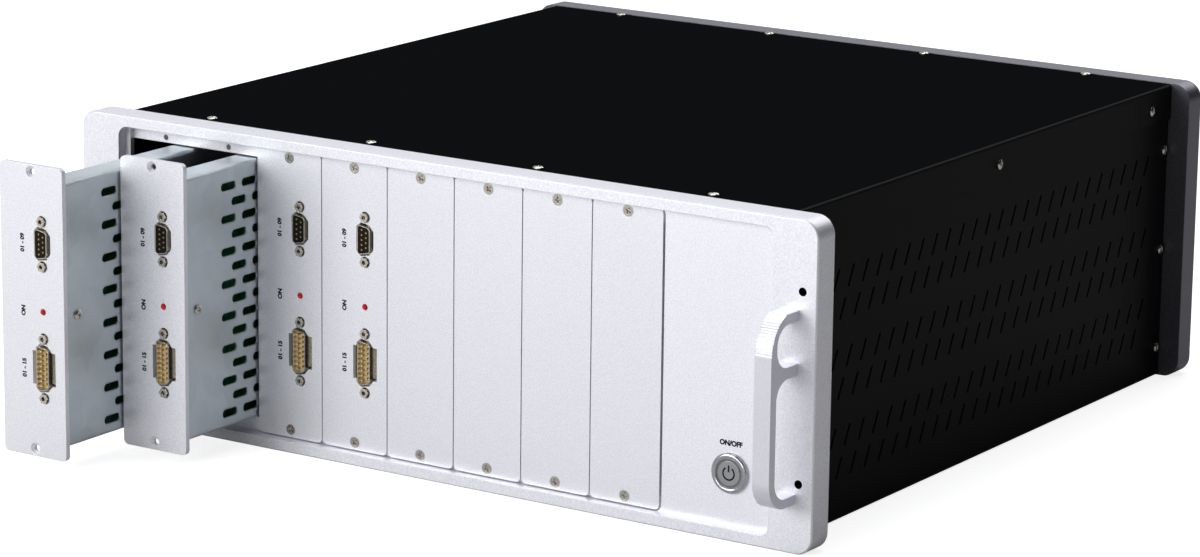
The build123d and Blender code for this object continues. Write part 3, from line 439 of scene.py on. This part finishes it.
def screw_shape(head, crown, rings):
    """One screw in millimetres, its axis up and its head's edge at height 0.

    The head is a square grid bent to a disc, with points crowded to the middle. Its height
    is a dome, crown times one minus the squared radius, less a cross recess with sloping
    sides. Rings of the edge's points at given radii and depths make the sides and shank.
    """
    steps = np.linspace(-1, 1, HEAD_STEPS + 1)
    steps = np.sign(steps) * np.abs(steps) ** HEAD_CROWDING
    u, v = np.meshgrid(steps, steps, indexing="ij")
    x, y = u * np.sqrt(1 - v * v / 2), v * np.sqrt(1 - u * u / 2)

    def arm(a, b):
        return np.clip((RECESS_HALF_WIDTH - np.abs(a)) / RECESS_WALL, 0, 1) \
            * np.clip((RECESS_ARM - np.abs(b)) / RECESS_END, 0, 1)

    recess = RECESS_DEPTH * head * np.maximum(arm(x, y), arm(y, x))
    top = np.stack([x * head, y * head, crown * (1 - x * x - y * y) - recess], -1).reshape(-1, 3)
    count = HEAD_STEPS + 1
    index = np.arange(count * count).reshape(count, count)
    quads = np.stack([index[:-1, :-1], index[1:, :-1], index[1:, 1:], index[:-1, 1:]], -1)
    edge = np.concatenate([index[:-1, 0], index[-1, :-1], index[:0:-1, -1], index[0, :0:-1]])
    around = top[edge, :2] / head
    levels = [top]
    faces = [quads.reshape(-1, 4)]
    previous = edge
    for radius, depth in rings:
        start = sum(len(level) for level in levels)
        levels.append(np.column_stack([around * radius, np.full(len(edge), -depth)]))
        now = np.arange(start, start + len(edge))
        faces.append(np.stack([np.roll(previous, -1), previous, now, np.roll(now, -1)], -1))
        previous = now
    return np.concatenate(levels), np.concatenate(faces), previous


def screw_group(name, shape, seats, replaced=(), body="chassis"):
    """Screws of one shape at many seats; a seat is a point in metres and an outward axis."""
    points, quads, last = shape
    all_points, all_faces = [], []
    for number, (place, outward) in enumerate(seats):
        spin = Matrix.Rotation(screw_turns.uniform(0, math.pi), 3, "Z")
        lift = Vector(outward).to_track_quat("Z", "Y").to_matrix() @ spin
        turned = points @ np.array(lift).T / 1000.0 + np.array(place)
        all_points.append(turned)
        all_faces += [tuple(face) for face in (quads + number * len(points)).tolist()]
        all_faces.append(tuple((last[::-1] + number * len(points)).tolist()))
    made = new_piece(name, np.concatenate(all_points), all_faces, screw_metal, body,
                     "screw_steel", sharp_degrees=30)
    if replaced:
        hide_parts(*replaced)


def pan_shape(length):
    """A pan-head screw: a low dome on a short rim, then a plain shank."""
    shank = [(SHANK_RADIUS, PAN_RIM[-1][1]), (SHANK_RADIUS, PAN_RIM[-1][1] + length)]
    return screw_shape(PAN_RADIUS, PAN_DOME, PAN_RIM + shank)


cover_low, cover_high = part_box("top_cover")
case_low, case_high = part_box("lower_case")
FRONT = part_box("front_panel")[0].y
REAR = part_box("rear_panel")[1].y
PANEL_THICK = 0.016
SCREW_INSET = 0.0053
HEAD_RIM = 0.001
COVER_SCREWS_X = (-0.165, -0.055, 0.055, 0.165)
WALL_SCREWS_Z = (0.138, 0.078, 0.018)
FLANGE_SCREWS_Y, FLANGE_SCREWS_Z = (0.045, 0.230, 0.415), 0.1645
LEFT, RIGHT, BACK, UP = (-1, 0, 0), (1, 0, 0), (0, 1, 0), (0, 0, 1)
case_seats = []
for y in (FRONT + PANEL_THICK + SCREW_INSET, REAR - PANEL_THICK - SCREW_INSET):
    case_seats += [((x, y, cover_high.z + HEAD_RIM), UP) for x in COVER_SCREWS_X]
    for wall, outward in ((case_low.x, LEFT), (case_high.x, RIGHT)):
        case_seats += [((wall + outward[0] * HEAD_RIM, y, z), outward) for z in WALL_SCREWS_Z]
for wall, outward in ((cover_low.x, LEFT), (cover_high.x, RIGHT)):
    case_seats += [((wall + outward[0] * HEAD_RIM, FRONT + y, FLANGE_SCREWS_Z), outward)
                   for y in FLANGE_SCREWS_Y]
FAN_X, FAN_Z, FAN_HOLES, GUARD_THICK = -0.130, MID_Z, 0.0715, 0.001
INLET_X, INLET_Z, INLET_HOLES, INLET_FLANGE = 0.150, 0.040, 0.040, 0.0025
fan_corners = [(FAN_X + a * FAN_HOLES / 2, FAN_Z + b * FAN_HOLES / 2)
               for a in (-1, 1) for b in (-1, 1)]
rear_seats = [((x, REAR + GUARD_THICK + HEAD_RIM, z), BACK) for x, z in fan_corners]
rear_seats += [((INLET_X + a * INLET_HOLES / 2, REAR + INLET_FLANGE + HEAD_RIM, INLET_Z), BACK)
               for a in (-1, 1)]
HANDLE_X, HANDLE_SINK, HANDLE_SCREWS_Z = 0.2257, 0.003, (0.1268, 0.0985, 0.0295)
handle_y = FRONT + PANEL_THICK - HANDLE_SINK + HEAD_RIM
handle_seats = [((side * HANDLE_X, handle_y, z), BACK)
                for side in (-1, 1) for z in HANDLE_SCREWS_Z]
screw_group("case_screws", pan_shape(length=6.0), case_seats + rear_seats, ["pan_head_screws"])
screw_group("handle_screws", pan_shape(length=19.0), handle_seats, ["pan_head_screws"])

SLOT_PITCH, FIRST_SLOT_X, SCREWED_SLOTS = 0.04435, -0.188125, range(2, 8)
PLATE_SCREWS, POCKET, SUNK = 0.1541, 0.006, 0.0002
plate_seats = [((FIRST_SLOT_X + slot * SLOT_PITCH, FRONT + POCKET + SUNK,
                 MID_Z + side * PLATE_SCREWS / 2), (0, -1, 0))
               for slot in SCREWED_SLOTS for side in (-1, 1)]
sunk_screw = screw_shape(SUNK_RADIUS, 0.0, [(SHANK_RADIUS, SUNK_CONE_DEPTH),
                                            (SHANK_RADIUS, SUNK_LENGTH)])
screw_group("slot_plate_screws", sunk_screw, plate_seats, ["plate_screws"])

# Module fittings
# What each module carries besides its sheet and board: turned gold-plated contacts, a screw
# that holds the shield to its plate bracket, and printed pin numbers and lamp marking.
gold, tree, shader = surface("gold_plated_contacts", "#e0b64a", metallic=1.0, roughness=0.22)
turning = grain(tree, size_mm=0.5)
relief(tree, shader, turning.outputs[0], depth_mm=0.005, strength=0.1)
print_ink, tree, shader = surface("dark_grey_print", "#18181a", metallic=0.0, roughness=0.6,
                                  specular=0.1)
speckle = grain(tree, size_mm=0.3)
relief(tree, shader, speckle.outputs[0], depth_mm=0.003, strength=0.2)
PULLS = {1: 0.112, 2: 0.064, 3: 0.0, 4: 0.0}
CONNECTOR_X, SHELL_PROUD, NINE_Z, FIFTEEN_Z = 0.0072, 0.0015, 0.1267, 0.0574
NINE_ROWS, FIFTEEN_ROWS = (5, 4), (8, 7)
CONTACT_PITCH, ROW_SPACING = 0.00277, 0.00284
SOCKET_PROFILE = [(0.0002, 0.0009), (0.00024, 0.00038), (0.0005, 0.00036), (0.00054, 0.0005),
                  (0.00054, 0.0008)]
PIN_PROFILE = [(0.0, 0.0009), (0.0003, 0.00095), (0.0005, 0.0012), (0.0006, 0.0016),
               (0.0006, 0.0060)]
SHIELD_X, SIDE_SCREW_BACK, SIDE_SCREW_Z = 0.0214, 0.0175, 0.0874
LABEL_X, LABEL_HEIGHT, INK_PROUD = 0.0068, 0.0030, 0.00001
LABELS = (("nine_mark", "01 - 09", 0.126), ("lamp_mark", "ON", 0.08825),
          ("fifteen_mark", "01 - 15", 0.05615))
LETTER_BOLD, LETTER_DEPTH, INK_SCALE = 0.06, 0.004, 0.004


def module_body(slot):
    """The body a slot's module rides on."""
    return f"module_{slot}" if PULLS[slot] else "chassis"


def revolved(profile, places, sides=14):
    """Turned parts along y, one at each place.

    A profile of (radius, depth) is swept round the axis: x and z are the radius times the
    cosine and sine of the angle, and y is the depth.
    """
    angle = np.linspace(0, 2 * np.pi, sides, endpoint=False)
    profile = np.array(profile)
    rings = len(profile)
    one = np.stack([np.outer(profile[:, 0], np.cos(angle)),
                    np.repeat(profile[:, 1][:, None], sides, 1),
                    np.outer(profile[:, 0], np.sin(angle))], -1).reshape(-1, 3)
    index = np.arange(rings * sides).reshape(rings, sides)
    across = np.roll(index, -1, 1)
    quads = np.stack([index[:-1], index[1:], across[1:], across[:-1]], -1).reshape(-1, 4)
    points = np.concatenate([one + np.array(place) for place in places])
    faces = np.concatenate([quads + number * len(one) for number in range(len(places))])
    return points, faces


def contact_places(rows, x, y, z):
    """Places of a connector's contacts, the longer row to the left."""
    return [(x + side * ROW_SPACING / 2, y, z + (number - (count - 1) / 2) * CONTACT_PITCH)
            for side, count in zip((-1, 1), rows) for number in range(count)]


def lettering(name, words, height, centre, body, upward=True):
    """Printed words of a height and centre in metres on a face that looks to the front.

    They read upwards, or level. The font's outline is scaled to the height and swings into
    the plane of the face, a hair's breadth proud of it.
    """
    data = bpy.data.curves.new(name, "FONT")
    data.body = words
    data.size = 1.0
    data.align_x = "CENTER"
    data.align_y = "CENTER"
    data.extrude = LETTER_DEPTH
    data.offset = LETTER_BOLD
    source = bpy.data.objects.new(name + "_source", data)
    bpy.context.scene.collection.objects.link(source)
    bpy.context.view_layer.update()
    flat = bpy.data.meshes.new_from_object(source.evaluated_get(
        bpy.context.evaluated_depsgraph_get()))
    count = len(flat.vertices)
    points = np.zeros(count * 3)
    flat.vertices.foreach_get("co", points)
    points = points.reshape(-1, 3)
    points[:, :2] -= (points[:, :2].max(0) + points[:, :2].min(0)) / 2
    points[:, :2] *= height / np.ptp(points[:, 1])
    right, up = (np.array((0, 0, 1.0)), np.array((-1.0, 0, 0))) if upward else \
        (np.array((1.0, 0, 0)), np.array((0, 0, 1.0)))
    placed = np.outer(points[:, 0], right) + np.outer(points[:, 1], up) \
        + np.outer(points[:, 2] * INK_SCALE, (0, -1.0, 0)) + np.array(centre)
    faces = [tuple(face.vertices) for face in flat.polygons]
    bpy.data.objects.remove(source)
    return new_piece(name, placed, faces, print_ink, body, "black_plastic")


side_screw = pan_shape(length=3.0)
for slot in PULLS:
    x = FIRST_SLOT_X + (slot - 1) * SLOT_PITCH
    plate_y = FRONT + POCKET - PULLS[slot]
    shell_y = plate_y - SHELL_PROUD
    body = module_body(slot)
    contact_x = x + CONNECTOR_X
    sockets = revolved(SOCKET_PROFILE, contact_places(NINE_ROWS, contact_x, shell_y, NINE_Z))
    new_piece(f"module_{slot}_sockets", *sockets, gold, body, "brass_post",
              sharp_degrees=60)
    pins = revolved(PIN_PROFILE, contact_places(FIFTEEN_ROWS, contact_x, shell_y, FIFTEEN_Z))
    new_piece(f"module_{slot}_pins", *pins, gold, body, "brass_post",
              sharp_degrees=60)
    screw_place = (x + SHIELD_X + HEAD_RIM, FRONT + SIDE_SCREW_BACK - PULLS[slot], SIDE_SCREW_Z)
    screw_group(f"module_{slot}_side_screw", side_screw, [(screw_place, RIGHT)], body=body)
    for label, words, z in LABELS:
        lettering(f"module_{slot}_{label}", words, LABEL_HEIGHT,
                  (x - LABEL_X, plate_y - INK_PROUD, z), body)

# Fan guard
# Plated steel wire: rings welded on four diagonal wires that end in eyes round the screws.
# The wires have eight sides, few enough for a piece this small.
GUARD_RINGS, WIRE_RADIUS, EYE_RADIUS = (0.009, 0.016, 0.023, 0.030, 0.0365), 0.0008, 0.0031
WIRE_SIDES, RING_SIDES, EYE_SIDES = 8, 48, 20
wire = np.radians(np.linspace(0, 360, WIRE_SIDES + 1))


def wire_ring(radius, places):
    """Round wire bent to a ring about y, at one or more places: a circle swept in a circle."""
    section = np.column_stack([radius + WIRE_RADIUS * np.cos(wire), WIRE_RADIUS * np.sin(wire)])
    return revolved(section, places, RING_SIDES if radius > EYE_RADIUS else EYE_SIDES)


guard_y = REAR + WIRE_RADIUS
guard_middle = (FAN_X, guard_y, FAN_Z)
guard_parts = [wire_ring(radius, [guard_middle]) for radius in GUARD_RINGS]
guard_parts.append(wire_ring(EYE_RADIUS, [(x, guard_y, z) for x, z in fan_corners]))
step = np.arange(WIRE_SIDES)
after = (step + 1) % WIRE_SIDES
for a, b in ((-1, -1), (1, -1), (-1, 1), (1, 1)):
    along = np.array((a, 0.0, b)) / math.sqrt(2)
    beside = np.array((-b, 0.0, a)) / math.sqrt(2)
    reach = FAN_HOLES / math.sqrt(2) - EYE_RADIUS
    wall = np.outer(np.cos(wire[:-1]), beside) * WIRE_RADIUS \
        + np.outer(np.sin(wire[:-1]), BACK) * WIRE_RADIUS + guard_middle
    points = np.concatenate([wall + along * GUARD_RINGS[0], wall + along * reach])
    guard_parts.append((points, np.stack([step, after, after + WIRE_SIDES, step + WIRE_SIDES],
                                         -1)))
guard_points, guard_faces = [], []
for points, faces in guard_parts:
    guard_faces.append(np.asarray(faces) + sum(len(part) for part in guard_points))
    guard_points.append(points)
guard = new_piece("wire_fan_guard", np.concatenate(guard_points), np.concatenate(guard_faces),
                  nickel, "chassis", "zinc_steel", sharp_degrees=80)
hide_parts("fan_guard")

# Power button marks
# The ring round the button is a grey light guide, the bezel's rim is turned to a crown, and
# the on-off sign is engraved and filled dark. The switch is lettered above it.
BEZEL_PROUD = 0.002
LIGHT_GUIDE_PROFILE = [(0.00712, 0.0011), (0.00712, 0.0005), (0.00795, 0.0005),
                       (0.00795, 0.0011)]
CROWN_PROFILE = [(0.00802, 0.0003), (0.0083, -0.0001), (0.0088, -0.00032), (0.0094, -0.0004),
                 (0.0100, -0.0003), (0.0105, 0.0), (0.01085, 0.0004), (0.01104, 0.0009),
                 (0.01106, 0.0019)]
SIGN_RADIUS, SIGN_WIDTH, SIGN_OPEN, SIGN_STEPS = 0.0034, 0.0010, 34.0, 48
BAR_LOW, BAR_HIGH, SIGN_DEPTH = 0.0008, 0.0044, 0.00003
MARK_HEIGHT, MARK_Z = 0.0031, 0.051
button_centre = (BUTTON_X, FRONT + POCKET - BEZEL_PROUD, BUTTON_Z)
new_piece("button_ring", *revolved(LIGHT_GUIDE_PROFILE, [button_centre], sides=64),
          light_guide, "chassis", "black_plastic")
new_piece("bezel_crown", *revolved(CROWN_PROFILE, [button_centre], sides=96), polished,
          "chassis", "polished_steel", sharp_degrees=80)
sweep = np.radians(np.linspace(90 + SIGN_OPEN, 450 - SIGN_OPEN, SIGN_STEPS + 1))
inner, outer = SIGN_RADIUS - SIGN_WIDTH / 2, SIGN_RADIUS + SIGN_WIDTH / 2
row = SIGN_STEPS + 1
sign = np.concatenate([
    np.column_stack([radius * np.cos(sweep), np.full(row, depth), radius * np.sin(sweep)])
    for radius, depth in ((inner, SIGN_DEPTH), (inner, -SIGN_DEPTH), (outer, -SIGN_DEPTH),
                          (outer, SIGN_DEPTH))])
strip = np.arange(SIGN_STEPS)
sign_faces = []
for start, end in ((0, row), (row, 2 * row), (2 * row, 3 * row), (3 * row, 0)):
    sign_faces += np.stack([start + strip, start + strip + 1, end + strip + 1, end + strip],
                           -1).tolist()
sign_faces += [[0, row, 2 * row, 3 * row], [4 * row - 1, 3 * row - 1, 2 * row - 1, row - 1]]
new_piece("button_sign", sign + button_centre, sign_faces, print_ink, "button", "black_plastic")
bar = np.array([(side * SIGN_WIDTH / 2, depth, z) for depth in (-SIGN_DEPTH, SIGN_DEPTH)
                for side, z in ((-1, BAR_LOW), (1, BAR_LOW), (1, BAR_HIGH), (-1, BAR_HIGH))])
new_piece("button_sign_bar", bar + button_centre,
          [(0, 1, 2, 3), (7, 6, 5, 4), (0, 4, 5, 1), (1, 5, 6, 2), (2, 6, 7, 3), (3, 7, 4, 0)],
          print_ink, "button", "black_plastic")
lettering("button_mark", "ON/OFF", MARK_HEIGHT,
          (BUTTON_X, FRONT + POCKET - INK_PROUD, MARK_Z), "chassis", upward=False)
